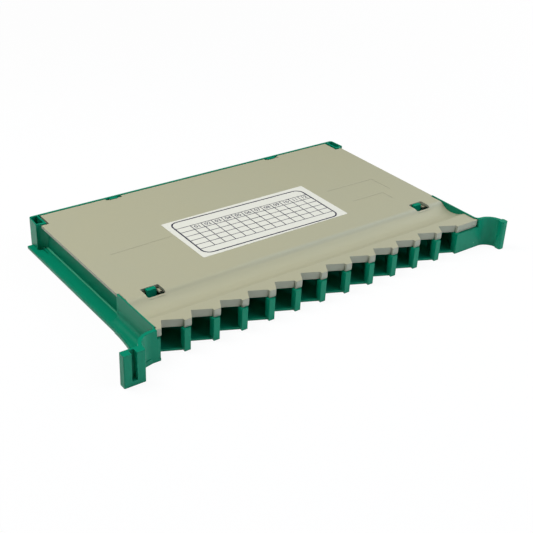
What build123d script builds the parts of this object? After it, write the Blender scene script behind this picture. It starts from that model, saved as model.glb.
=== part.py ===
from build123d import *
import math
import os

# Splice and distribution tray for an optical distribution frame: a green moulded base with twelve
# slanted adapter ports along its front, and a beige moulded cover that tips up about its rear edge.
# Millimetres. X runs to the right along the front, Y to the back, Z up. The shapes below are drawn
# about the middle of the tray's body, and place() moves them so that the origin is the bottom centre
# of the whole tray, ears included.

# Ports: twelve cells along the front, each turned to face the front left
PORTS = 12
PITCH = 26.5
FIRST_DIVIDER_OUT = 2.5
END_WALL_W = 27.5
PORT_TILT = 25.5
DIVIDER_FACE = 5.6
DIVIDER_FRONT_Y = -1.0
POST_DEPTH = 7.0
WEB_DEPTH = 24.0
WEB_T = 2.2
GROOVE_W = 2.4
RIB_W = 2.0
SILL_SET_BACK = 2.5
SILL_LEFT_IN = 4.0
SILL_RIGHT_OUT = 0.75
END_WALL_T = 2.5

# Body, whose width follows from the row of ports
BODY_W = PORTS * PITCH - FIRST_DIVIDER_OUT + END_WALL_W
HALF_W = BODY_W / 2
BODY_H = 28.0
REAR_Y = 218.0
FRONT_Y = -1.5
WALL = 2.0
FLUSH_WALL = 1.2
FLOOR = 2.0
OVERLAP = 1.0

# Recessed side walls, and the guide flanges along their feet
RECESS = 4.5
FLUSH_END_Y = 60.0
FLANGE_OUT = 8.5
FLANGE_T = 4.5
FLANGE_R = 2.0
FLANGE_BEVEL = 0.6
FLANGE_END = 6.0
LEDGE_W = 1.4
LEDGE_SLOPE = 0.8
LEDGE_H = 0.9
LEAD_IN = 26.0
LEAD_IN_DROP = 1.5
LEAD_IN_W = 9.0
FLARE_REACH = 8.0
FLARE_R = 170.0
FLARE_ROOT = 4.0

# Rear corner posts
CORNER_BACK = 19.5
POST_OUT = 3.8
POST_LEAN = 0.8
POST_R = 3.0
POST_RIM = 1.2
CREASE_BACK = 2.0
HOLLOW = 4.5
SLOT_WALL = 0.6
SLOT_START = 3.0
SLOT_END = 2.2
CORNER_RIB = 1.0
NOTCH_DEPTH = 2.8

# Ears
EAR_T = 3.0
GUSSET_R = 4.0
LEFT_EAR_STRAIGHT = 5.0
LEFT_EAR_R = 14.0
KEEPER_FORWARD = 16.5
KEEPER_W = 18.0
KEEPER_D = 7.0
KEEPER_R = 0.8
KEEPER_SLOT_W = 4.4
KEEPER_FINGER = 6.5
KEEPER_SLOT_D = 5.5
KEEPER_SLOT_Z = 4.2
RIGHT_EAR_STRAIGHT = 3.0
RIGHT_EAR_R = 12.5
LIP_OUT = 5.0
LIP_IN = 1.4
LIP_D = 6.5
LIP_R = 1.8

# Cover heights
RIM_H = 0.5
SHELF_DROP = 0.6
COVER_T = 2.5
LID_GAP = 0.2
COVER_LIP_H = 6.8
COVER_LIP_T = 2.2
LIP_STEP_H = 1.4
LIP_STEP = 0.35
VALLEY_DEPTH = 5.8

# Cover plan
EDGE_GAP = 0.3
END_LIP_T = 2.4
LEFT_GAP = 0.9
LEFT_GAP_END = 20.0
TURN_GAP = 0.6
TURN_TAPER = 4.0
OVERHANG = 0.1
VALLEY_REAR_Y = 48.5
VALLEY_LOW_Y = 33.4
VALLEY_FRONT_Y = 15.5
REAR_BRIM_R = 6.0
FRONT_BRIM_R = 4.0
TOOTH_LEFT = 1.5
TOOTH_RIGHT = 7.6
TOOTH_BACK = 12.9
TOOTH_Y = 0.9
STEP_Y = 3.4
CORNER_NOTCH_IN = 7.5
CORNER_NOTCH_GAP = 1.2
REAR_NOTCH_IN = 80.3
REAR_NOTCH_W = 16.0
REAR_NOTCH_D = 3.8
TONGUE_T = 1.1
TAB_W = 8.0
TAB_REACH = 2.6
COVER_RIB_H = 2.0
COVER_RIB_T = 1.4
COVER_RIB_IN = 0.6
COVER_RIB_SHORT = 12.0

# Windows in the cover, and the hooks that stand up in them
WINDOW_IN = 26.8
WINDOW_Y = 50.7
WINDOW_W = 16.5
WINDOW_L = 12.6
WINDOW_R = 1.6
COLLAR_T = 1.4
COLLAR_H = 2.6
SHELF_IN = 6.4
SHELF_OUT = 2.6
SHELF_L = 7.0
SHELF_T = 1.6
HOOK_W = 8.2
HOOK_T = 2.2
HOOK_BACK = 1.7
HOOK_HEAD = 2.0
HOOK_HEAD_H = 3.0
HOOK_LOW = 0.2

# Label
LABEL_W = 158.0
LABEL_L = 70.3
LABEL_T = 0.15
LABEL_X = -3.3
LABEL_BACK = 109.4
LABEL_R = 1.2

# Inside of the base
RING_IN = 79.5
RING_BACK = 106.0
RING_R = 34.0
RING_H = 16.0
RING_GAP = 9.0
TONGUE_REACH = 9.0
COMB_W = 62.0
COMB_L = 34.0
COMB_BACK = 68.0
COMB_BASE = 2.0
COMB_H = 8.0
COMB_FINS = 13
COMB_FIN_T = 1.2

# Places and heights that follow from the sizes above
TILT = math.radians(PORT_TILT)
AXIS = (math.sin(TILT), math.cos(TILT))
ACROSS = (math.cos(TILT), -math.sin(TILT))
DIAGONAL = math.cos(math.pi / 4)
DIVIDER_T = DIVIDER_FACE * math.cos(TILT)
POST_END = POST_DEPTH + DIVIDER_T * math.tan(TILT)
RECESS_X = HALF_W - RECESS
FLANGE_X = HALF_W + FLANGE_OUT
FOOT_R = FLANGE_OUT - FLANGE_R
FLARE_Y = FRONT_Y + math.sqrt(2 * FLARE_R * FLARE_REACH - FLARE_REACH ** 2)
CORNER_Y = REAR_Y - CORNER_BACK
LEFT_EAR_X = HALF_W + LEFT_EAR_STRAIGHT + LEFT_EAR_R
RIGHT_EAR_X = HALF_W + RIGHT_EAR_STRAIGHT + RIGHT_EAR_R
KEEPER_X = LEFT_EAR_X + KEEPER_W
KEEPER_Y = FRONT_Y - KEEPER_FORWARD
LIP_X = RIGHT_EAR_X + LIP_OUT
X_SHIFT = (KEEPER_X - LIP_X) / 2
Y_SHIFT = -(REAR_Y + KEEPER_Y) / 2
COVER_TOP = BODY_H - RIM_H
COVER_UNDER = COVER_TOP - COVER_T
SHELF_TOP = COVER_TOP - SHELF_DROP
SHELF_UNDER = SHELF_TOP - COVER_T
VALLEY_TOP = COVER_TOP - VALLEY_DEPTH
VALLEY_UNDER = VALLEY_TOP - COVER_T
WALL_TOP = COVER_UNDER - LID_GAP
LIP_FOOT = SHELF_TOP - COVER_LIP_H
DIVIDER_TOP = LIP_FOOT - LID_GAP
WEB_TOP = min(DIVIDER_TOP, VALLEY_UNDER) - LID_GAP
COVER_REAR = REAR_Y - WALL - EDGE_GAP
END_LIP_REAR = TOOTH_Y + END_LIP_T
WINDOW_X = HALF_W - WINDOW_IN
REAR_NOTCH_X = HALF_W - REAR_NOTCH_IN
LABEL_Y = REAR_Y - LABEL_BACK
RING_X = HALF_W - RING_IN
RING_Y = REAR_Y - RING_BACK
COMB_Y = REAR_Y - COMB_BACK


def place(shape):
    """Moves a shape from the body's own place to the tray's origin."""
    return Pos(X_SHIFT, Y_SHIFT, 0) * shape


def prism(points, bottom, top):
    """An upright solid on a plan outline of straight sides."""
    face = make_face(Polyline(*points, close=True))
    return Pos(0, 0, bottom) * extrude(face, amount=top - bottom)


def upright(curve, bottom, top):
    """An upright solid on a plan outline with arcs in it."""
    solid = extrude(make_face(curve), amount=top - bottom)
    return Pos(0, 0, bottom) * solid


def along(curve, rear, front):
    """A solid with one section, drawn in X and Z, that runs from a rear Y to a front Y."""
    face = Plane.XZ * make_face(curve)
    return Pos(0, rear, 0) * extrude(face, amount=rear - front)


def path(points):
    """A chain of straight lines through the points."""
    chain = Line(points[0], points[1])
    for start, end in zip(points[1:], points[2:]):
        chain += Line(start, end)
    return chain


def block(x0, x1, y0, y1, z0, z1):
    """A box between two corners."""
    size = Box(x1 - x0, y1 - y0, z1 - z0)
    return Pos((x0 + x1) / 2, (y0 + y1) / 2, (z0 + z1) / 2) * size


def both_sides(shape):
    """A shape and its mirror image in the middle plane of the body."""
    return shape + mirror(shape, about=Plane.YZ)


def ahead(point, distance, sideways=0.0):
    """A point moved back along a port's axis, and across it to the right."""
    return (
        point[0] + AXIS[0] * distance + ACROSS[0] * sideways,
        point[1] + AXIS[1] * distance + ACROSS[1] * sideways,
    )


def divider_x(index):
    """Where the front left corner of a divider stands."""
    return index * PITCH - HALF_W - FIRST_DIVIDER_OUT


def slab(start, first, last, left, right, bottom, top):
    """An upright slab beside a port's axis, between two distances back and two across."""
    outline = [
        ahead(start, first, left),
        ahead(start, last, left),
        ahead(start, last, right),
        ahead(start, first, right),
    ]
    return prism(outline, bottom, top)


def divider(index):
    """The wall between two ports: a thick front post, a thin web, and ribs that hold an adapter."""
    x = divider_x(index)
    front = (x, DIVIDER_FRONT_Y)
    outline = [
        front,
        (x + DIVIDER_FACE, DIVIDER_FRONT_Y),
        ahead(front, POST_END, DIVIDER_T),
        ahead(front, POST_END, 0),
    ]
    post = prism(outline, 0, DIVIDER_TOP)
    web_left = (DIVIDER_T - WEB_T) / 2
    web = slab(front, 0, WEB_DEPTH, web_left, web_left + WEB_T, 0, WEB_TOP)
    rib_start = POST_END + GROOVE_W
    rib = slab(front, rib_start, rib_start + RIB_W, 0, DIVIDER_T, 0, WEB_TOP)
    return post + web + rib


def floor_outline():
    """The floor's plan: straight sides and back, and a sill across each port at the front."""
    near = DIVIDER_FRONT_Y + SILL_SET_BACK
    points = [(RECESS_X, REAR_Y), (-RECESS_X, REAR_Y), (-RECESS_X, FLUSH_END_Y), (-HALF_W, FLUSH_END_Y)]
    points.append((-HALF_W, FRONT_Y))
    points.append((divider_x(0) + DIVIDER_FACE, FRONT_Y))
    for index in range(PORTS):
        left = divider_x(index) + DIVIDER_FACE
        right = divider_x(index + 1)
        width = right - left - SILL_LEFT_IN
        if index > 0:
            points.append((left, DIVIDER_FRONT_Y))
        points.append((left + SILL_LEFT_IN, near + math.tan(TILT) * width))
        points.append((right + SILL_RIGHT_OUT, near))
        points.append((right, DIVIDER_FRONT_Y))
    points.append((divider_x(PORTS), FRONT_Y))
    points.append((HALF_W, FRONT_Y))
    points.append((HALF_W, FLUSH_END_Y))
    points.append((RECESS_X, FLUSH_END_Y))
    return points


def side_wall():
    """The left side wall: flush with the cover's edge at the front, and recessed behind."""
    flush = block(-HALF_W, -HALF_W + FLUSH_WALL, FRONT_Y, FLUSH_END_Y, 0, BODY_H)
    inner = -RECESS_X + WALL
    end = FLUSH_END_Y + RECESS
    middle = (-RECESS_X - RECESS * DIAGONAL, FLUSH_END_Y + RECESS * DIAGONAL)
    start = (-HALF_W, FLUSH_END_Y)
    turn = path(
        [
            start,
            (-HALF_W + FLUSH_WALL, FLUSH_END_Y - WALL),
            (inner, FLUSH_END_Y - WALL),
            (inner, end),
            (-RECESS_X, end),
        ]
    )
    turn += ThreePointArc((-RECESS_X, end), middle, start)
    shoulder = upright(turn, 0, WALL_TOP)
    recessed = block(-RECESS_X, inner, FLUSH_END_Y, CORNER_Y + OVERLAP, 0, WALL_TOP)
    return flush + shoulder + recessed


def rear_corner():
    """The left rear corner: an upright post, a hollow curve back to the wall, and a slot with a rib."""
    out = -HALF_W - POST_OUT
    inner = -RECESS_X + CORNER_RIB
    start = (-RECESS_X, CORNER_Y - HOLLOW)
    crease = (out, CORNER_Y + CREASE_BACK)
    width = -RECESS_X - out
    height = HOLLOW + CREASE_BACK
    hollow = (out + width * DIAGONAL, CORNER_Y - HOLLOW + height * DIAGONAL)
    far = out + POST_LEAN
    turn = (far + POST_R * (1 - DIAGONAL), REAR_Y - POST_R * (1 - DIAGONAL))
    curve = ThreePointArc(start, hollow, crease)
    curve += Line(crease, (far, REAR_Y - POST_R))
    curve += ThreePointArc((far, REAR_Y - POST_R), turn, (far + POST_R, REAR_Y))
    curve += path([(far + POST_R, REAR_Y), (inner, REAR_Y), (inner, CORNER_Y - HOLLOW), start])
    post = upright(curve, 0, BODY_H)
    slot = prism(
        [
            (-RECESS_X - SLOT_WALL, CORNER_Y + SLOT_START),
            (out + POST_RIM, CORNER_Y + SLOT_START),
            (far + POST_RIM, REAR_Y - SLOT_END),
            (-RECESS_X - SLOT_WALL, REAR_Y - SLOT_END),
        ],
        FLANGE_T,
        BODY_H + OVERLAP,
    )
    front = start[1] - OVERLAP
    low = block(out - OVERLAP, inner + OVERLAP, front, CORNER_Y, WALL_TOP, BODY_H + OVERLAP)
    notch = block(out - OVERLAP, -RECESS_X, front, CORNER_Y, WALL_TOP - NOTCH_DEPTH, BODY_H)
    return post - slot - low - notch


def flange_edge():
    """The guide flange's outer edge, rounded above and bevelled below, from its top to its underside."""
    bend = (-FLANGE_X + FLANGE_R * (1 - DIAGONAL), FLANGE_T - FLANGE_R * (1 - DIAGONAL))
    edge = ThreePointArc((-FLANGE_X, FLANGE_T - FLANGE_R), bend, (-FLANGE_X + FLANGE_R, FLANGE_T))
    return edge + path(
        [(-FLANGE_X, FLANGE_T - FLANGE_R), (-FLANGE_X, FLANGE_BEVEL), (-FLANGE_X + FLANGE_BEVEL, 0)]
    )


def flange():
    """The left guide flange: a rounded outer edge, a sloped ledge at the wall, and a thin rear end."""
    rear = REAR_Y - FLANGE_END
    root = -RECESS_X + OVERLAP
    section = flange_edge() + path(
        [
            (-FLANGE_X + FLANGE_R, FLANGE_T),
            (-RECESS_X - LEDGE_W, FLANGE_T),
            (-RECESS_X - LEDGE_W + LEDGE_SLOPE, FLANGE_T + LEDGE_H),
            (root, FLANGE_T + LEDGE_H),
            (root, 0),
            (-FLANGE_X + FLANGE_BEVEL, 0),
        ]
    )
    rail = along(section, rear, FLUSH_END_Y - OVERLAP)
    thin = block(
        -FLANGE_X - OVERLAP, -FLANGE_X + LEAD_IN_W, rear - LEAD_IN, rear + OVERLAP, FLANGE_T - LEAD_IN_DROP,
        FLANGE_T + OVERLAP,
    )
    return rail - thin


def front_foot():
    """The broad hollow curve from the left front wall down to the flange, and the flare at the ear."""
    root = -HALF_W + FLUSH_WALL
    bend = (-HALF_W - FOOT_R * (1 - DIAGONAL), FLANGE_T + FOOT_R * (1 - DIAGONAL))
    section = ThreePointArc((-HALF_W - FOOT_R, FLANGE_T), bend, (-HALF_W, FLANGE_T + FOOT_R))
    section += flange_edge() + path(
        [
            (-HALF_W, FLANGE_T + FOOT_R),
            (root, FLANGE_T + FOOT_R),
            (root, 0),
            (-FLANGE_X + FLANGE_BEVEL, 0),
        ]
    )
    foot = along(section, FLUSH_END_Y, 0)
    half = math.acos(1 - FLARE_REACH / FLARE_R) / 2
    middle = (-FLANGE_X - FLARE_R * (1 - math.cos(half)), FLARE_Y - FLARE_R * math.sin(half))
    end = (-FLANGE_X - FLARE_REACH, FRONT_Y)
    start = (-FLANGE_X, FLARE_Y)
    flare = ThreePointArc(start, middle, end)
    flare += path(
        [
            end,
            (-FLANGE_X - FLARE_ROOT, FRONT_Y - FLARE_ROOT / 2),
            (-HALF_W, FRONT_Y + OVERLAP),
            (-HALF_W, FLARE_Y),
            start,
        ]
    )
    sheet = upright(flare, 0, FLANGE_T)
    outer_edge = sheet.edges().filter_by(GeomType.CIRCLE).sort_by(Axis.Z)[-1]
    return foot + fillet(outer_edge, FLANGE_R)


def ear_sheet(straight, radius):
    """A curved sheet that leaves the left front wall sideways and turns to the front."""
    turn_x = -HALF_W - straight
    centre_y = FRONT_Y - radius
    outer = radius + EAR_T
    end_y = KEEPER_Y + OVERLAP
    root = -HALF_W + FLUSH_WALL
    inner_bend = (turn_x - radius * DIAGONAL, centre_y + radius * DIAGONAL)
    outer_bend = (turn_x - outer * DIAGONAL, centre_y + outer * DIAGONAL)
    curve = Line((root, FRONT_Y), (turn_x, FRONT_Y))
    curve += ThreePointArc((turn_x, FRONT_Y), inner_bend, (turn_x - radius, centre_y))
    curve += path(
        [
            (turn_x - radius, centre_y),
            (turn_x - radius, end_y),
            (turn_x - outer, end_y),
            (turn_x - outer, centre_y),
        ]
    )
    curve += ThreePointArc((turn_x - outer, centre_y), outer_bend, (turn_x, FRONT_Y + EAR_T))
    curve += path([(turn_x, FRONT_Y + EAR_T), (root, FRONT_Y + EAR_T), (root, FRONT_Y)])
    root_y = FRONT_Y + EAR_T
    bend = (-HALF_W - GUSSET_R * (1 - DIAGONAL), root_y + GUSSET_R * (1 - DIAGONAL))
    corner = ThreePointArc((-HALF_W, root_y + GUSSET_R), bend, (-HALF_W - GUSSET_R, root_y))
    corner += path(
        [
            (-HALF_W - GUSSET_R, root_y),
            (-HALF_W - GUSSET_R, root_y - OVERLAP),
            (-HALF_W, root_y - OVERLAP),
            (-HALF_W, root_y + GUSSET_R),
        ]
    )
    return upright(curve, 0, BODY_H) + upright(corner, 0, BODY_H)


def lip_room():
    """The room at the left front wall's upper end, which the cover's front lip takes."""
    inner = -HALF_W + FLUSH_WALL + OVERLAP
    return block(
        -HALF_W, inner, FRONT_Y - OVERLAP, END_LIP_REAR + EDGE_GAP, DIVIDER_TOP, BODY_H + OVERLAP
    )


def left_ear():
    """The left ear: a curved sheet that ends in a keeper block with a slot open at its top."""
    sheet = ear_sheet(LEFT_EAR_STRAIGHT, LEFT_EAR_R)
    keeper = block(-KEEPER_X, -LEFT_EAR_X, KEEPER_Y, KEEPER_Y + KEEPER_D, 0, BODY_H)
    keeper = fillet(keeper.edges().filter_by(Axis.Z), KEEPER_R)
    left = -KEEPER_X + KEEPER_FINGER
    back = KEEPER_Y + KEEPER_SLOT_D
    slot = block(left, left + KEEPER_SLOT_W, KEEPER_Y - OVERLAP, back, KEEPER_SLOT_Z, BODY_H + OVERLAP)
    return sheet + keeper - slot


def right_ear():
    """The right ear: a curved sheet that ends in a thick rounded bar."""
    sheet = mirror(ear_sheet(RIGHT_EAR_STRAIGHT, RIGHT_EAR_R), about=Plane.YZ)
    bar = block(RIGHT_EAR_X - LIP_IN, LIP_X, KEEPER_Y, KEEPER_Y + LIP_D, 0, BODY_H)
    return sheet + fillet(bar.edges().filter_by(Axis.Z), LIP_R)


def rear_wall():
    """The rear wall and the two tabs that hold the cover's rear edge down."""
    inner = REAR_Y - WALL
    wall = block(-RECESS_X, RECESS_X, inner, REAR_Y, 0, BODY_H)
    low = COVER_UNDER + TONGUE_T + LID_GAP
    half = TAB_W / 2
    tab = block(REAR_NOTCH_X - half, REAR_NOTCH_X + half, inner - TAB_REACH, inner, low, COVER_TOP)
    return wall + both_sides(tab)


def snap_hook(x):
    """A springy hook that stands up in the cover's window, its head turned to the back."""
    tip = COVER_TOP - HOOK_LOW
    back = WINDOW_Y + WINDOW_L / 2 - HOOK_BACK
    head = back + HOOK_HEAD / 2
    front = head - HOOK_HEAD - HOOK_T
    stem = front + HOOK_T
    section = Polyline(
        (front, 0),
        (front, tip),
        (head, tip),
        (head, tip - HOOK_HEAD_H / 2),
        (stem, tip - HOOK_HEAD_H),
        (stem, 0),
        close=True,
    )
    face = Plane.YZ * make_face(section)
    return Pos(x - HOOK_W / 2, 0, 0) * extrude(face, amount=HOOK_W)


def winding_ring(x):
    """A low ring in four arcs that fibre is wound round, with a tongue over each arc."""
    up = (Align.CENTER, Align.CENTER, Align.MIN)
    ring = Cylinder(RING_R, RING_H, align=up) - Cylinder(RING_R - WALL, RING_H, align=up)
    across = 3 * RING_R
    ring -= Box(across, RING_GAP, 2 * RING_H + OVERLAP)
    ring -= Box(RING_GAP, across, 2 * RING_H + OVERLAP)
    tongue = Box(TONGUE_REACH, TONGUE_REACH, WALL, align=(Align.MIN, Align.CENTER, Align.MAX))
    for turn in (45, 135, 225, 315):
        ring += Rot(0, 0, turn) * (Pos(RING_R - WALL, 0, RING_H) * tongue)
    return Pos(x, RING_Y, FLOOR) * ring


def tray_base():
    """The base in one moulding."""
    base = prism(floor_outline(), 0, FLOOR)
    base += both_sides(side_wall())
    base += both_sides(rear_corner())
    base += both_sides(flange())
    base += both_sides(front_foot())
    base += rear_wall()
    base += left_ear()
    base += right_ear()
    base -= both_sides(lip_room())
    inside = block(-HALF_W, HALF_W, DIVIDER_FRONT_Y, REAR_Y, 0, BODY_H)
    for index in range(PORTS + 1):
        base += divider(index) & inside
    base += block(divider_x(PORTS), HALF_W - FLUSH_WALL / 2, FRONT_Y, FRONT_Y + END_WALL_T, 0, DIVIDER_TOP)
    for x in (-WINDOW_X, WINDOW_X):
        base += snap_hook(x)
    for x in (-RING_X, RING_X):
        base += winding_ring(x)
    return base


def trough_side(brim, low, brim_r):
    """Two arcs that meet smoothly, from a brim down to the trough's lowest line."""
    across = low[0] - brim[0]
    side = math.copysign(1, across)
    turn = 2 * math.atan((brim[1] - low[1]) / abs(across))
    heel_r = abs(across) / math.sin(turn) - brim_r
    half = turn / 2
    meet = (brim[0] + side * brim_r * math.sin(turn), brim[1] - brim_r * (1 - math.cos(turn)))
    on_brim = (brim[0] + side * brim_r * math.sin(half), brim[1] - brim_r * (1 - math.cos(half)))
    on_heel = (low[0] - side * heel_r * math.sin(half), low[1] + heel_r * (1 - math.cos(half)))
    return ThreePointArc(brim, on_brim, meet) + ThreePointArc(meet, on_heel, low)


def valley(drop):
    """The shallow trough across the cover, from its rear brim to its front one, sunk by a drop."""
    rear = (VALLEY_REAR_Y, COVER_TOP - drop)
    low = (VALLEY_LOW_Y, VALLEY_TOP - drop)
    front = (VALLEY_FRONT_Y, SHELF_TOP - drop)
    curve = trough_side(rear, low, REAR_BRIM_R) + trough_side(front, low, FRONT_BRIM_R)
    return curve, rear, front


def cover_plate():
    """The cover's plate before its cut-outs, one section across the whole width."""
    top, top_rear, top_front = valley(0)
    under, under_rear, under_front = valley(COVER_T)
    edge = FRONT_Y - OVERLAP
    curve = top + under
    curve += path([top_front, (edge, SHELF_TOP), (edge, SHELF_UNDER), under_front])
    curve += path([top_rear, (COVER_REAR, COVER_TOP), (COVER_REAR, COVER_UNDER), under_rear])
    face = Plane.YZ * make_face(curve)
    return Pos(-HALF_W, 0, 0) * extrude(face, amount=BODY_W)


def tooth_points(index, inset):
    """The front outline over one divider: in from the port, forward, across, and back again."""
    x = divider_x(index)
    left = x + TOOTH_LEFT
    right = x + TOOTH_RIGHT
    near = TOOTH_Y + inset
    step = STEP_Y + inset
    back_x = x + TOOTH_BACK
    back_y = step + math.tan(TILT) * (left + PITCH - back_x)
    return [(left, step), (left, near), (right, near), (back_x, back_y)]


def cover_outline(inset):
    """The cover's whole plan outline, with its narrower front and its corner and rear notches."""
    ear = HALF_W - OVERHANG - inset
    side = HALF_W - FLUSH_WALL - EDGE_GAP - inset
    wide = HALF_W - OVERHANG
    turn_y = FLUSH_END_Y + EDGE_GAP
    notch_x = HALF_W - CORNER_NOTCH_IN
    notch_y = CORNER_Y - CORNER_NOTCH_GAP
    points = [(-ear + LEFT_GAP, TOOTH_Y + inset)]
    points += tooth_points(0, inset)[2:]
    for index in range(1, PORTS):
        points += tooth_points(index, inset)
    points += tooth_points(PORTS, inset)[:2]
    points += [(ear, TOOTH_Y + inset), (ear, END_LIP_REAR), (side, END_LIP_REAR)]
    right = [
        (side, VALLEY_REAR_Y - TURN_TAPER),
        (side - TURN_GAP, VALLEY_REAR_Y),
        (side - TURN_GAP, turn_y),
        (wide, turn_y),
        (wide, notch_y),
        (notch_x, notch_y),
        (notch_x, COVER_REAR),
    ]
    points += right
    points += [(-x, y) for x, y in reversed(right)]
    points += [(-side, LEFT_GAP_END), (-side + LEFT_GAP, END_LIP_REAR), (-ear + LEFT_GAP, END_LIP_REAR)]
    return points


def front_lip():
    """The cover's front lip: a zigzag wall that hangs over the ports, set back a little at its foot."""
    foot_top = LIP_FOOT + LIP_STEP_H
    outer = prism(cover_outline(0), foot_top, SHELF_TOP)
    outer += prism(cover_outline(LIP_STEP), LIP_FOOT, foot_top)
    inner = prism(cover_outline(COVER_LIP_T), LIP_FOOT - OVERLAP, SHELF_UNDER + LID_GAP)
    back = VALLEY_FRONT_Y - OVERLAP
    keep = block(-HALF_W, HALF_W, FRONT_Y - OVERLAP, back, LIP_FOOT, SHELF_TOP)
    left = -HALF_W + FLUSH_WALL + EDGE_GAP + LEFT_GAP + COVER_LIP_T
    spare = block(left, HALF_W, back - COVER_LIP_T, back + OVERLAP, 0, SHELF_UNDER)
    return ((outer - inner) & keep) - spare


def window_block(x, outset, bottom, top):
    """A block that is a window's opening, or with an outset its collar."""
    half = WINDOW_W / 2 + outset
    deep = WINDOW_L / 2 + outset
    solid = block(x - half, x + half, WINDOW_Y - deep, WINDOW_Y + deep, bottom, top)
    return fillet(solid.edges().filter_by(Axis.Z), WINDOW_R + outset)


def window_shelf(x):
    """The small shelf below the right rear corner of a window."""
    back = WINDOW_Y + WINDOW_L / 2 + COLLAR_T
    low = COVER_UNDER - COLLAR_H
    half = WINDOW_W / 2
    return block(x + SHELF_IN, x + half + SHELF_OUT, back - SHELF_L, back, low, low + SHELF_T)


def tray_cover():
    """The beige cover in one moulding."""
    cover = cover_plate() & prism(cover_outline(0), 0, BODY_H)
    cover += front_lip()
    for x in (-WINDOW_X, WINDOW_X):
        low = COVER_UNDER - COLLAR_H
        collar = window_block(x, COLLAR_T, low, COVER_UNDER + LID_GAP)
        wall_y = WINDOW_Y + WINDOW_L / 2
        open_side = block(x, x + WINDOW_W, wall_y - 2 * WINDOW_L, wall_y, low, COVER_UNDER)
        cover += collar - open_side
        cover -= window_block(x, 0, 0, BODY_H)
        cover += window_shelf(x)
    for x in (-REAR_NOTCH_X, REAR_NOTCH_X):
        half = REAR_NOTCH_W / 2
        notch_front = COVER_REAR - REAR_NOTCH_D
        tongue_top = COVER_UNDER + TONGUE_T
        cover -= block(x - half, x + half, notch_front, COVER_REAR + OVERLAP, tongue_top, BODY_H)
    rib_x = -RECESS_X + WALL + COVER_RIB_IN
    rib_front = FLUSH_END_Y + COVER_RIB_SHORT
    rib_rear = CORNER_Y - COVER_RIB_SHORT
    rib = block(rib_x, rib_x + COVER_RIB_T, rib_front, rib_rear, COVER_UNDER - COVER_RIB_H, COVER_UNDER)
    return cover + both_sides(rib)


def cover_label():
    """The record sticker on the cover."""
    half_w = LABEL_W / 2
    half_l = LABEL_L / 2
    top = COVER_TOP + LABEL_T
    sticker = block(LABEL_X - half_w, LABEL_X + half_w, LABEL_Y - half_l, LABEL_Y + half_l, COVER_TOP, top)
    return fillet(sticker.edges().filter_by(Axis.Z), LABEL_R)


def splice_comb():
    """The comb that holds twelve splice sleeves side by side."""
    left = -COMB_W / 2
    front = COMB_Y - COMB_L / 2
    rear = COMB_Y + COMB_L / 2
    foot = FLOOR + COMB_BASE
    comb = block(left, left + COMB_W, front, rear, FLOOR, foot)
    step = (COMB_W - COMB_FIN_T) / (COMB_FINS - 1)
    for index in range(COMB_FINS):
        x = left + index * step
        comb += block(x, x + COMB_FIN_T, front, rear, foot, FLOOR + COMB_H)
    return comb


NODES = {
    "tray_base": tray_base,
    "tray_cover": tray_cover,
    "cover_label": cover_label,
    "splice_comb": splice_comb,
}

os.makedirs("parts", exist_ok=True)
for name, build in NODES.items():
    shape = place(build())
    export_step(shape, "parts/" + name + ".step")
    solids = shape.solids()
    print(name, len(solids), "solid(s)", round(sum(s.volume for s in solids)), "mm3")
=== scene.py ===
# %% [markdown]
# Splice and distribution tray
#
# The object is a flat green moulded tray with twelve slanted ports along its front, closed by a beige
# cover that carries a paper record label. Its shapes come from the packed frame, in metres, so this file
# only gives it surfaces, print, a few small wedges, light and a camera. The first step loads the frame.

# %% Load the frame
import math
import bpy
from mathutils import Matrix, Vector


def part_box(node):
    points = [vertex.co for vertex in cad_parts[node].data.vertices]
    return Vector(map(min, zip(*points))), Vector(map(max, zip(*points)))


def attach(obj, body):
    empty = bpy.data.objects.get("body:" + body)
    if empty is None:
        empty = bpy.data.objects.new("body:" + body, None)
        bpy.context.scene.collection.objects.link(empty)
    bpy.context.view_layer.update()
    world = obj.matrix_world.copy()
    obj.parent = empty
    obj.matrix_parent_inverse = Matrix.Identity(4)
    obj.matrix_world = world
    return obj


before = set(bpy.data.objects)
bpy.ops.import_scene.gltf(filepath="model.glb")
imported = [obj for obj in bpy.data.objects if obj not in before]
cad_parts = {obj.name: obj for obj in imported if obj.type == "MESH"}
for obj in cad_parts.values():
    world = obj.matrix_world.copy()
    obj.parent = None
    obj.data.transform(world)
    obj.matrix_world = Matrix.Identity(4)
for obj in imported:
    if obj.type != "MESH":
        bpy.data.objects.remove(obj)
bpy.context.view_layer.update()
MM = 0.001


scene = bpy.context.scene
scene.view_settings.view_transform = "Standard"
print("nodes:", sorted(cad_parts))

# %% [markdown]
# The camera
#
# A photograph of a flat tray shows its proportions through perspective, so the camera's place matters as
# much as the shapes. It stands at the front left, nearly a metre away and well above the tray. It could be
# placed by eye, but it was fitted to about ninety corners of the tray instead, with the even spacing of the
# ports as the ruler. Only its place, its three turns and its lens are written here.

# %% Place the camera
CAMERA_AT = Vector((-460.9, -619.9, 422.0)) * MM
CAMERA_TILT = math.radians(60.44)
CAMERA_ROLL = math.radians(-2.25)
CAMERA_TURN = math.radians(-36.10)
CAMERA_LENS = 65.28
CAMERA_SENSOR = 36.0
CAMERA_CLIP = 10.0 * MM


def make_camera():
    """The scene's camera, aimed by three turns about X, Y and Z."""
    data = bpy.data.cameras.new("camera")
    data.lens = CAMERA_LENS
    data.sensor_width = CAMERA_SENSOR
    data.clip_start = CAMERA_CLIP
    camera = bpy.data.objects.new("camera", data)
    camera.location = CAMERA_AT
    camera.rotation_euler = (CAMERA_TILT, CAMERA_ROLL, CAMERA_TURN)
    scene.collection.objects.link(camera)
    scene.camera = camera
    return camera


camera = make_camera()
print("camera is", round(camera.location.length, 2), "m from the middle of the tray's underside")

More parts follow.
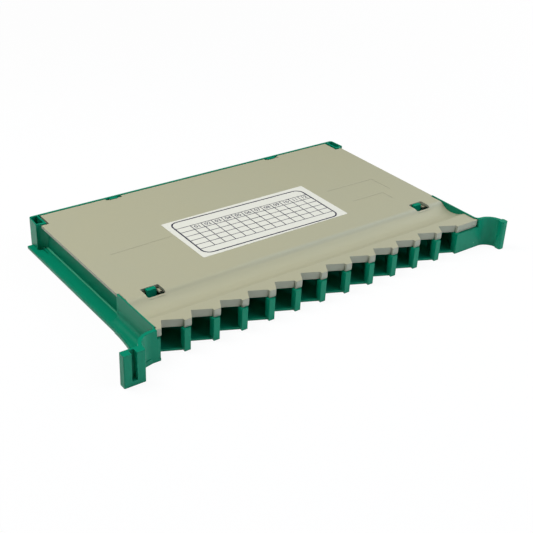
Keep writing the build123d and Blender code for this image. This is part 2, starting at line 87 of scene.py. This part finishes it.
# %% [markdown]
# A small language for shader maths
#
# A procedural material is a sum of many little formulas. Wiring each Math node by hand hides the formula,
# so one class wraps a node's output and lets Python's own operators add the nodes. The reflected forms
# let a plain number stand on the left, as in 1 - mask. Colours and vectors need other nodes, because a
# Math node would turn a colour grey.

# %% Sockets that can be added and multiplied


class Sock:
    """A shader output that adds Math nodes when it is used in an expression."""

    def __init__(self, shader, output):
        self.shader = shader
        self.output = output

    def _math(self, operation, *values, clamp=False):
        return self.shader.node("ShaderNodeMath", {"operation": operation, "use_clamp": clamp}, *values)

    def __add__(self, other):
        return self._math("ADD", self, other)

    def __radd__(self, other):
        return self._math("ADD", other, self)

    def __sub__(self, other):
        return self._math("SUBTRACT", self, other)

    def __rsub__(self, other):
        return self._math("SUBTRACT", other, self)

    def __mul__(self, other):
        return self._math("MULTIPLY", self, other)

    def __rmul__(self, other):
        return self._math("MULTIPLY", other, self)

    def __truediv__(self, other):
        return self._math("DIVIDE", self, other)

    def __abs__(self):
        return self._math("ABSOLUTE", self)

    def least(self, other):
        """The smaller of two values."""
        return self._math("MINIMUM", self, other)

    def most(self, other):
        """The larger of two values."""
        return self._math("MAXIMUM", self, other)

    def clamped(self):
        """The value held between 0 and 1."""
        return self._math("ADD", self, 0.0, clamp=True)

    def root(self):
        """The square root."""
        return self._math("SQRT", self)

    def fold(self, step):
        """The distance to the nearest whole multiple of a step."""
        return self._math("PINGPONG", self, step / 2)

    def inside(self, edge, soft):
        """1 where the value is under an edge, 0 above it, with a soft change."""
        return ((edge - self) / soft + 0.5).clamped()


print("a wrapped output can be:", [name for name in vars(Sock) if not name.startswith("_")])

# %% [markdown]
# Every other node
#
# Nodes that aren't plain maths are all added in the same way: make the node, set its options, then fill
# or link its sockets. One method does this for any type of node. The options come first, because some of
# them change which sockets count. Sockets are looked up by identifier, because a Mix node has several
# with the same name.

# %% Add and join nodes


def socket_of(sockets, key):
    """A node's socket, by its place in the list or by its identifier."""
    if isinstance(key, int):
        return sockets[key]
    return next(socket for socket in sockets if socket.identifier == key)


class Wiring:
    """A node tree with short ways to add and join nodes."""

    def __init__(self, tree):
        self.tree = tree

    def node(self, kind, settings=None, *values, output=0, **named):
        """Adds a node, sets it up, feeds its sockets, and wraps one of its outputs."""
        made = self.tree.nodes.new(kind)
        for key, value in (settings or {}).items():
            setattr(made, key, value)
        for index, value in enumerate(values):
            self.feed(made.inputs[index], value)
        for key, value in named.items():
            self.feed(socket_of(made.inputs, key), value)
        return Sock(self, socket_of(made.outputs, output))

    def feed(self, socket, value):
        """Links a wrapped output to a socket, or sets the socket's own value."""
        if isinstance(value, Sock):
            self.tree.links.new(value.output, socket)
        elif socket.type == "RGBA":
            socket.default_value = (*value, 1.0)
        else:
            socket.default_value = value

    def axes(self, vector):
        """A vector's X, Y and Z as three wrapped numbers."""
        split = self.node("ShaderNodeSeparateXYZ", None, vector).output.node
        return [Sock(self, axis) for axis in split.outputs]


class Shader(Wiring):
    """One material, with a Principled surface."""

    def __init__(self, name):
        self.material = bpy.data.materials.new(name)
        self.material.use_nodes = True
        super().__init__(self.material.node_tree)
        self.surface = self.tree.nodes["Principled BSDF"]

    def point(self):
        """The point on the object, in millimetres."""
        metres = self.node("ShaderNodeTexCoord", output="Object")
        return self.node("ShaderNodeVectorMath", {"operation": "SCALE"}, metres, Scale=1 / MM)

    def noise(self, point, per_mm, detail=2.0, fine=0.5):
        """Soft noise from 0 to 1, at so many features a millimetre. A higher fine adds small ones."""
        steps = {"Detail": detail, "Roughness": fine}
        return self.node("ShaderNodeTexNoise", None, Vector=point, Scale=per_mm, **steps)

    def blend(self, share, first, second):
        """A colour between two colours. A share of 1 is the second colour alone."""
        colours = {"Factor_Float": share, "A_Color": first, "B_Color": second}
        return self.node("ShaderNodeMix", {"data_type": "RGBA"}, output="Result_Color", **colours)

    def bump(self, height, depth, **base):
        """A bumped normal from a height of 0 to 1 and a depth in metres, over a base Normal if given."""
        return self.node("ShaderNodeBump", None, Height=height, Distance=depth, **base)

    def turned(self, point, middle, angle):
        """A point turned about an upright axis through a middle."""
        upright = {"rotation_type": "Z_AXIS"}
        return self.node("ShaderNodeVectorRotate", upright, Vector=point, Center=middle, Angle=angle)

    def look(self, **sockets):
        """Feeds the surface's own sockets, such as Roughness."""
        for key, value in sockets.items():
            self.feed(self.surface.inputs[key.replace("_", " ")], value)


print("a material can use:", [name for name in vars(Shader) if not name.startswith("_")])

# %% [markdown]
# Colours
#
# Plastic and paper are named here by the colour that a viewer would pick in a paint program. Blender
# wants linear light, so one function turns a picked value into that. Its numbers are those of the sRGB
# curve, which screens use.

# %% Picked colours
CURVE_KNEE = 0.04045
CURVE_SLOPE = 12.92
CURVE_OFFSET = 0.055
CURVE_POWER = 2.4


def linear(value):
    """A picked value, from 0 to 255, in linear light."""
    part = value / 255
    if part <= CURVE_KNEE:
        return part / CURVE_SLOPE
    return ((part + CURVE_OFFSET) / (1 + CURVE_OFFSET)) ** CURVE_POWER


def picked(red, green, blue):
    """A picked colour in linear light."""
    return tuple(linear(value) for value in (red, green, blue))


GREEN = picked(0, 134, 102)
GREEN_DEEP = picked(0, 125, 94)
# a pale green for the painted highlight on the side ledges' edge
GREEN_HIGHLIGHT = picked(84, 180, 142)
BEIGE = picked(173, 169, 139)
BEIGE_COOL = picked(169, 168, 143)
# a greyer beige for the painted shade of the cover's upright faces
BEIGE_SIDE_SHADE = picked(163, 165, 147)
# a cooler beige for the painted reflection along the trough
BEIGE_STREAK_REFLECTION = picked(166, 168, 150)
# a darker beige for the painted shade along the cover's moulded lines
BEIGE_LINE_SHADE = picked(128, 126, 106)
COMB_BLACK = picked(30, 31, 33)
PAPER = picked(223, 222, 210)
PAPER_FIBRE = picked(212, 211, 199)
INK = picked(18, 16, 52)
INK_WORN = picked(60, 60, 80)
WHITE = picked(255, 255, 255)
print("green in linear light:", [round(v, 3) for v in GREEN])

# %% [markdown]
# Moulded plastic
#
# The base, the cover and the comb are satin plastic mouldings with a fine grain from the mould. A flat
# colour would look like paint, so three things are added: a slow drift of colour from how the melt
# flowed, the grain as a bump, and softly rounded edges. The grain could be cut into the mesh, but that
# takes millions of faces for something that only light shows. A Bevel node rounds the shading of every
# edge without touching the mesh. One function serves all three pieces, and each can add marks and
# painted light of its own.

# %% Make a moulded plastic
EDGE_RADIUS = 0.45 * MM
EDGE_SAMPLES = 6
GRAIN_PER_MM = 1.6
GRAIN_DETAIL = 3.0
GRAIN_DEPTH = 0.02 * MM
GRAIN_ROUGH = 0.10
PATCH_PER_MM = 0.11
PATCH_DETAIL = 4.0
PATCH_ROUGH = 0.08
DRIFT_PER_MM = 0.018
DRIFT_DETAIL = 3.0
DRIFT_SHARE = 0.7
FINE_STEPS = 0.6


def moulded(name, colour, drifted, rough, shine=0.5, edge=EDGE_RADIUS, marks_and_painted_light=None):
    """A moulded plastic that drifts between two colours, with fine grain and rounded edges."""
    shader = Shader(name)
    point = shader.point()
    drift = shader.noise(point, DRIFT_PER_MM, DRIFT_DETAIL)
    grain = shader.noise(point, GRAIN_PER_MM, GRAIN_DETAIL, FINE_STEPS)
    patches = shader.noise(point, PATCH_PER_MM, PATCH_DETAIL, FINE_STEPS)
    paint = shader.blend(drift * DRIFT_SHARE + patches * (1 - DRIFT_SHARE), colour, drifted)
    normal = shader.node("ShaderNodeBevel", {"samples": EDGE_SAMPLES}, Radius=edge)
    if marks_and_painted_light:
        paint, normal = marks_and_painted_light(shader, point, paint, normal)
    roughness = rough + grain * GRAIN_ROUGH + patches * PATCH_ROUGH
    shader.look(Base_Color=paint, Roughness=roughness, Specular_IOR_Level=shine)
    shader.look(Normal=shader.bump(grain, GRAIN_DEPTH, Normal=normal))
    return shader


def dress(node, shader):
    """Gives a node's object one material."""
    data = bpy.data.objects[node].data
    data.materials.clear()
    data.materials.append(shader.material)
    print(node, "wears", shader.material.name, "with", len(shader.tree.nodes), "shader nodes")


# %% [markdown]
# The green base
#
# The base is the smoothest of the mouldings. A small ledge runs along the foot of each side wall, and its
# edge gets a painted highlight: a pale line that stands in for light catching it. The ledge itself is in
# the frame, so only this painted colour is added, by a formula that is 1 near the ledge's own place. A
# second material on its faces would do too, but with a hard edge.

# %% Dress the base
GREEN_ROUGH = 0.28
GREEN_SHINE = 0.16
BODY_MIDDLE = 8.25
LEDGE_AT = 168.0
LEDGE_Z = 5.0
LEDGE_HALF = 0.5
LEDGE_SOFT = 0.3
LEDGE_HIGHLIGHT = 0.85


def base_painted_highlight(shader, point, paint, normal):
    """A painted highlight: the pale edge of the small ledge at each side wall's foot."""
    x, _, z = shader.axes(point)
    across = abs(abs(x - BODY_MIDDLE) - LEDGE_AT).inside(LEDGE_HALF, LEDGE_SOFT)
    ledge = across * abs(z - LEDGE_Z).inside(LEDGE_HALF, LEDGE_SOFT)
    # painted highlight: the ledge's edge is blended toward a pale green, standing in for light catching it
    return shader.blend(ledge * LEDGE_HIGHLIGHT, paint, GREEN_HIGHLIGHT), normal


green = moulded("green_moulding", GREEN, GREEN_DEEP, GREEN_ROUGH, GREEN_SHINE, marks_and_painted_light=base_painted_highlight)
dress("tray_base", green)

# %% [markdown]
# The beige cover
#
# The cover is rougher than the base and has crisper edges. Its top carries faint moulded lines left and
# right of the label, its upright faces get a painted shade that makes them greyer, and a painted
# reflection, a cooler streak, runs where the top bends down into the trough. The lines are far too shallow
# for a mesh.
# Each is the distance to a straight line in the plan, turned into a dent and a painted shade where it is
# small.

# %% Dress the cover
BEIGE_ROUGH = 0.48
COVER_EDGE = 0.25 * MM
TOP_FROM = 25.5
TOP_SOFT = 0.5
LINE_HALF = 0.45
LINE_SOFT = 0.7
LINE_DEPTH = 0.3 * MM
LINE_SHADE = 0.35
STREAK_Y = -53.8
STREAK_HALF = 1.8
STREAK_SOFT = 3.4
STREAK_FROM = -45.0
STREAK_FADE = 70.0
STREAK_REFLECTION = 0.6
SIDE_TILT = 0.4
COVER_LINES = [
    ((-137.0, 19.0), (-77.0, 20.5)),
    ((99.0, 21.0), (154.0, 20.0)),
    ((154.0, 20.0), (155.0, -6.0)),
    ((106.0, -9.0), (142.5, -9.3)),
    ((142.5, -9.3), (142.8, -22.3)),
]


def line_distance(x, y, start, end):
    """How far a point is, in the plan, from a straight line between two places."""
    run_x = end[0] - start[0]
    run_y = end[1] - start[1]
    from_x = x - start[0]
    from_y = y - start[1]
    part = ((from_x * run_x + from_y * run_y) / (run_x**2 + run_y**2)).clamped()
    off_x = from_x - part * run_x
    off_y = from_y - part * run_y
    return (off_x * off_x + off_y * off_y).root()


def cover_marks_and_painted_light(shader, point, paint, normal):
    """The faint lines on the cover's top with their painted shade, the painted shade of its upright faces,
    and the painted reflection along its trough.
    """
    x, y, z = shader.axes(point)
    nearest = line_distance(x, y, *COVER_LINES[0])
    for start, end in COVER_LINES[1:]:
        nearest = nearest.least(line_distance(x, y, start, end))
    lines = nearest.inside(LINE_HALF, LINE_SOFT) * (1 - z.inside(TOP_FROM, TOP_SOFT))
    streak = abs(y - STREAK_Y).inside(STREAK_HALF, STREAK_SOFT)
    streak = streak * (1 - x.inside(STREAK_FROM, STREAK_FADE))
    # painted shade: faces that stand upright are blended toward a greyer beige by the way they face
    _, _, facing_up = shader.axes(shader.node("ShaderNodeTexCoord", output="Normal"))
    paint = shader.blend(abs(facing_up).inside(SIDE_TILT, SIDE_TILT), paint, BEIGE_SIDE_SHADE)
    # painted reflection: a cooler band along the trough's rear brim, where a cool lamp would be mirrored
    paint = shader.blend(streak * STREAK_REFLECTION, paint, BEIGE_STREAK_REFLECTION)
    # painted shade along each moulded line; the dent added below is a real bump
    paint = shader.blend(lines * LINE_SHADE, paint, BEIGE_LINE_SHADE)
    return paint, shader.bump(1 - lines, LINE_DEPTH, Normal=normal)


beige = moulded("beige_moulding", BEIGE, BEIGE_COOL, BEIGE_ROUGH, edge=COVER_EDGE, marks_and_painted_light=cover_marks_and_painted_light)
dress("tray_cover", beige)

# %% [markdown]
# The splice comb
#
# A comb inside the tray is there to hold splice sleeves. It shows only while the cover is up. The plain
# moulded plastic is enough for it, without marks, and in black, so that it stands out from the green.

# %% Dress the comb
COMB_ROUGH = 0.5
comb = moulded("black_moulding", COMB_BLACK, COMB_BLACK, COMB_ROUGH)
dress("splice_comb", comb)

# %% [markdown]
# The left flanks of the dividers
#
# Each port's divider is a slanted wall, but its thick front post runs straight back for a few millimetres
# before it slants. The frame's posts slant at once, so a small wedge fills that corner at each port. Each
# wedge is an upright prism over a plan of four corners, sunk a little into its post, and all of them are
# one mesh. The last one starts further back, because the tray's end wall fills the front there.

# %% Fill the corners beside the posts
PORTS = 12
PORT_PITCH = 26.5
PORT_SLANT = math.tan(math.radians(25.5))
FIRST_POST_X = -139.25
POST_FRONT_Y = -101.0
POST_TOP = 19.9
FLANK_BACK = 5.6
FLANK_SUNK = 0.3
FLANK_FOOT = 0.4
END_WALL_DEPTH = 2.0


def flank_plan(index):
    """One wedge's four corners in the plan."""
    x = FIRST_POST_X + index * PORT_PITCH
    set_back = END_WALL_DEPTH if index == PORTS - 1 else 0.0
    front = POST_FRONT_Y + set_back
    rear = POST_FRONT_Y + FLANK_BACK
    return [
        (x, front),
        (x + set_back * PORT_SLANT + FLANK_SUNK, front + FLANK_SUNK),
        (x + FLANK_BACK * PORT_SLANT + FLANK_SUNK, rear),
        (x, rear),
    ]


def make_flanks():
    """One wedge beside each post, all in one mesh."""
    verts, faces = [], []
    for index in range(PORTS):
        plan = flank_plan(index)
        count = len(plan)
        start = len(verts)
        for z in (FLANK_FOOT, POST_TOP):
            verts += [(x * MM, y * MM, z * MM) for x, y in plan]
        faces.append([start + k for k in reversed(range(count))])
        faces.append([start + count + k for k in range(count)])
        for k in range(count):
            after = (k + 1) % count
            faces.append([start + k, start + after, start + count + after, start + count + k])
    mesh = bpy.data.meshes.new("divider_flanks")
    mesh.from_pydata(verts, [], faces)
    mesh.materials.append(green.material)
    piece = bpy.data.objects.new("divider_flanks", mesh)
    scene.collection.objects.link(piece)
    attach(piece, "tray")
    return piece


flanks = make_flanks()
print(flanks.name, "has", PORTS, "wedges and", len(flanks.data.polygons), "faces")

# %% [markdown]
# The record label
#
# The label is a paper sticker with a rounded frame line and a grid of twelve numbered columns. Its print
# lies slightly askew, so the point is turned first. Lines whose places are known are best drawn by a
# formula, the distance to the nearest line turned into ink where it is small, because they stay sharp
# however close the camera comes.

# %% Print the label's grid
low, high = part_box("cover_label")
LABEL_LEFT = low[0] / MM
LABEL_BOTTOM = low[1] / MM
LABEL_TOP_Z = high[2]
PRINT_MIDDLE = Vector((79.0, 35.0))
PRINT_TURN = math.radians(-1.2)
FRAME_BOX = (5.9, 3.2, 150.0, 65.8)
FRAME_ROUND = 7.5
FRAME_LINE = 1.5
GRID_LINE = 0.85
GRID_LEFT = 20.9
GRID_RIGHT = 149.8
GRID_TOP = 54.1
COLUMNS = 12
COLUMN = (GRID_RIGHT - GRID_LEFT) / COLUMNS
ROWS = 5
ROW = 8.3
INK_SOFT = 0.12
FIBRES_PER_MM = 0.9
FIBRE_DETAIL = 4.0
FIBRE_SHARE = 0.35
FIBRE_DEPTH = 0.01 * MM
FIBRE_ROUGH = 0.1
PAPER_ROUGH = 0.55


def frame_distance(across, up):
    """How far a point is outside the rounded frame line. Inside it the distance is negative."""
    left, bottom, right, top = FRAME_BOX
    beside = abs(across - (left + right) / 2) - ((right - left) / 2 - FRAME_ROUND)
    beyond = abs(up - (bottom + top) / 2) - ((top - bottom) / 2 - FRAME_ROUND)
    beside = beside.most(0.0)
    beyond = beyond.most(0.0)
    return (beside * beside + beyond * beyond).root() - FRAME_ROUND


def grid_ink(across, up):
    """1 on a line of the grid and 0 beside it."""
    half = GRID_LINE / 2
    grid_bottom = GRID_TOP - ROWS * ROW
    columns = (across - GRID_LEFT).fold(COLUMN).inside(half, INK_SOFT)
    columns = columns * (1 - across.inside(GRID_LEFT - COLUMN / 2, INK_SOFT))
    rows = (up - GRID_TOP).fold(ROW).inside(half, INK_SOFT)
    under_top = up.inside(GRID_TOP + half, INK_SOFT)
    over_bottom = 1 - up.inside(grid_bottom - half, INK_SOFT)
    return columns.most(rows) * under_top * over_bottom


def label_shader():
    """Paper with its frame line and grid."""
    shader = Shader("label_paper")
    point = shader.point()
    middle = (LABEL_LEFT + PRINT_MIDDLE.x, LABEL_BOTTOM + PRINT_MIDDLE.y, 0.0)
    x, y, _ = shader.axes(shader.turned(point, middle, -PRINT_TURN))
    across = x - LABEL_LEFT
    up = y - LABEL_BOTTOM
    frame_line = frame_distance(across, up)
    ink = abs(frame_line).inside(FRAME_LINE / 2, INK_SOFT)
    ink = ink.most(grid_ink(across, up) * frame_line.inside(0.0, INK_SOFT))
    fibres = shader.noise(point, FIBRES_PER_MM, FIBRE_DETAIL)
    paper = shader.blend(fibres * FIBRE_SHARE, PAPER, PAPER_FIBRE)
    shader.look(Base_Color=shader.blend(ink, paper, INK), Roughness=PAPER_ROUGH + fibres * FIBRE_ROUGH)
    shader.look(Normal=shader.bump(fibres, FIBRE_DEPTH))
    return shader


dress("cover_label", label_shader())
print("columns are", round(COLUMN, 2), "mm wide")

# %% [markdown]
# The column numbers
#
# The numbers are printed with the grid, but they have no simple formula. So they are text objects turned
# into flat meshes, laid a hair above the paper, and they ride on the cover with it.

# %% Set the numbers
DIGIT_H = 4.8 * MM
TEXT_SIZE_PER_DIGIT_H = 1.35
DIGIT_BOLD = 0.08 * MM
DIGIT_LIFT = 0.02 * MM
DIGIT_CURVE_STEPS = 3
INK_ROUGH = 0.6
WEAR_PER_MM = 2.5
WEAR_ROUGH = 0.1


def ink_shader():
    """Printing ink: dark, matt, slightly uneven."""
    shader = Shader("label_ink")
    wear = shader.noise(shader.point(), WEAR_PER_MM)
    shader.look(Base_Color=shader.blend(wear, INK, INK_WORN), Roughness=INK_ROUGH + wear * WEAR_ROUGH)
    return shader


def print_point(across, up):
    """A point of the turned print, a hair above the paper, in the tray's own metres."""
    turned = Matrix.Rotation(PRINT_TURN, 2) @ (Vector((across, up)) - PRINT_MIDDLE)
    spot = Vector((LABEL_LEFT, LABEL_BOTTOM)) + PRINT_MIDDLE + turned
    return Vector((spot.x * MM, spot.y * MM, LABEL_TOP_Z + DIGIT_LIFT))


def set_number(index, ink):
    """One column's number, as a flat mesh on the paper."""
    text = f"{index + 1:02d}"
    curve = bpy.data.curves.new("number", "FONT")
    curve.body = text
    curve.size = DIGIT_H * TEXT_SIZE_PER_DIGIT_H
    curve.offset = DIGIT_BOLD
    curve.align_x = "CENTER"
    curve.align_y = "CENTER"
    curve.resolution_u = DIGIT_CURVE_STEPS
    holder = bpy.data.objects.new("number", curve)
    mesh = bpy.data.meshes.new_from_object(holder)
    bpy.data.objects.remove(holder)
    spot = print_point(GRID_LEFT + (index + 0.5) * COLUMN, GRID_TOP - ROW / 2)
    mesh.transform(Matrix.Translation(spot) @ Matrix.Rotation(PRINT_TURN, 4, "Z"))
    mesh.materials.clear()
    mesh.materials.append(ink.material)
    piece = bpy.data.objects.new(f"label_number_{text}", mesh)
    scene.collection.objects.link(piece)
    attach(piece, "cover")
    return piece


ink = ink_shader()
numbers = [set_number(index, ink) for index in range(COLUMNS)]
print(len(numbers), "numbers set, from", numbers[0].name, "to", numbers[-1].name)

# %% [markdown]
# The lamps
#
# The photograph's light is soft, comes mostly from above and leaves no hard shadow. A narrow lamp high at
# the back left gives the cover most of its light, and a cooler one at the front right lights the upright
# faces in front. A third stands to the right, and a weak one at the front left reaches into the ports. A
# lamp without a size would draw hard edges, so area lamps are used, whose size decides how soft they are.
# Their places were found by trying. Their powers were fitted together, so that the tones of the cover, the
# flange, the posts and the ports come out close to the photograph's.

# %% Set the lamps
LAMP_SIDE = 0.8
BACK_WIDTH = 0.4
MIDDLE = (0.0, 0.0, 0.0)
LEFT_OF_MIDDLE = (-0.1, 0.0, 0.0)
COOL = (0.86, 0.97, 1.12)


def area_lamp(name, place, power, width=LAMP_SIDE, aim=MIDDLE, colour=WHITE):
    """A rectangular soft lamp aimed at a point, with its places in metres and its power in watts."""
    data = bpy.data.lights.new(name, "AREA")
    data.shape = "RECTANGLE"
    data.size = width
    data.size_y = LAMP_SIDE
    data.energy = power
    data.color = colour
    lamp = bpy.data.objects.new(name, data)
    lamp.location = place
    lamp.rotation_euler = (Vector(aim) - Vector(place)).to_track_quat("-Z", "Y").to_euler()
    scene.collection.objects.link(lamp)
    return lamp


lamps = [
    area_lamp("lamp_back_left", (-0.42, 0.3, 1.1), power=11.8, width=BACK_WIDTH, aim=LEFT_OF_MIDDLE),
    area_lamp("lamp_front", (0.52, -0.8, 0.66), power=5.8, colour=COOL),
    area_lamp("lamp_fill", (-0.7, -0.8, 1.1), power=0.9),
    area_lamp("lamp_right", (1.3, 0.1, 0.6), power=7.5),
]
print("lamps and their watts:", {lamp.name: round(lamp.data.energy, 1) for lamp in lamps})

# %% [markdown]
# The world
#
# The photograph's ground is pure white, but a white world would flood the tray with light. Light Path
# tells which kind of ray asks. The camera's rays see white. Rays that a surface mirrors see white near
# the ground and little overhead, as under a dark ceiling, so that glossy faces keep their colour. All
# other rays, which do the lighting, get a dim even level.

# %% Make the world
WORLD_LEVEL = 0.07
WORLD_OVERHEAD = 0.03
HORIZON_TOP = 0.05
HORIZON_SOFT = 0.10


def background_rays(wiring):
    """Two switches: 1 for rays from the camera, and 1 for rays that a surface mirrors or lets through."""
    camera_ray = wiring.node("ShaderNodeLightPath", output="Is Camera Ray")
    glossy_ray = wiring.node("ShaderNodeLightPath", output="Is Glossy Ray")
    clear_ray = wiring.node("ShaderNodeLightPath", output="Is Transmission Ray")
    return camera_ray, (glossy_ray + clear_ray).clamped()


def light_world(level, overhead):
    """A dim even surround, white to the camera. Reflections see it white low down and dim overhead."""
    world = bpy.data.worlds.new("world")
    world.use_nodes = True
    scene.world = world
    wiring = Wiring(world.node_tree)
    camera_ray, mirror_ray = background_rays(wiring)
    _, _, height = wiring.axes(wiring.node("ShaderNodeTexCoord", output="Generated"))
    mirrored = overhead + height.inside(HORIZON_TOP, HORIZON_SOFT) * (1 - overhead)
    strength = camera_ray + (1 - camera_ray) * (level + mirror_ray * (mirrored - level))
    background = wiring.tree.nodes["Background"]
    wiring.feed(background.inputs["Color"], WHITE)
    wiring.feed(background.inputs["Strength"], strength)
    return world


world = light_world(WORLD_LEVEL, WORLD_OVERHEAD)
print(world.name, "lights at", WORLD_LEVEL, "with", len(world.node_tree.nodes), "nodes")

# %% [markdown]
# The ground
#
# The ground is white to the camera and keeps a faint shadow of the tray. A plain white floor would turn
# grey away from the lamps. So a Mix Shader shows the camera mostly an even white glow, with a small share
# of the lit floor, which brings in the shadow. Far from the tray that share fades out, so that the floor
# runs into the white world without an edge.

# %% Make the floor
FLOOR_REACH = 3.0
FLOOR_DROP = 0.2 * MM
FLOOR_COLOUR = (0.93, 0.93, 0.93)
FLOOR_ROUGH = 0.9
FLOOR_WHITE = 0.93
FLOOR_FADE = 900.0


def make_floor():
    """A floor that is white to the camera and still takes the tray's shadow."""
    mesh = bpy.data.meshes.new("floor")
    near, far = -FLOOR_REACH, FLOOR_REACH
    corners = [(near, near, 0), (far, near, 0), (far, far, 0), (near, far, 0)]
    mesh.from_pydata(corners, [], [(0, 1, 2, 3)])
    floor = bpy.data.objects.new("floor", mesh)
    floor.location.z = -FLOOR_DROP
    scene.collection.objects.link(floor)
    shader = Shader("floor_white")
    shader.look(Base_Color=FLOOR_COLOUR, Roughness=FLOOR_ROUGH)
    glow = shader.node("ShaderNodeEmission", None, Color=WHITE, Strength=1.0)
    x, y, _ = shader.axes(shader.point())
    away = 1 - (x * x + y * y).root().inside(FLOOR_FADE, FLOOR_FADE)
    camera_ray, mirror_ray = background_rays(shader)
    share = (camera_ray + mirror_ray).clamped() * (FLOOR_WHITE + away * (1 - FLOOR_WHITE))
    lit = Sock(shader, shader.surface.outputs["BSDF"])
    mixed = shader.node("ShaderNodeMixShader", None, share, lit, glow)
    shader.feed(shader.tree.nodes["Material Output"].inputs["Surface"], mixed)
    mesh.materials.append(shader.material)
    return floor


floor = make_floor()
print(floor.name, "reaches", FLOOR_REACH, "m to each side")

# %% [markdown]
# The end
#
# Nothing added above should have changed the tray's size.
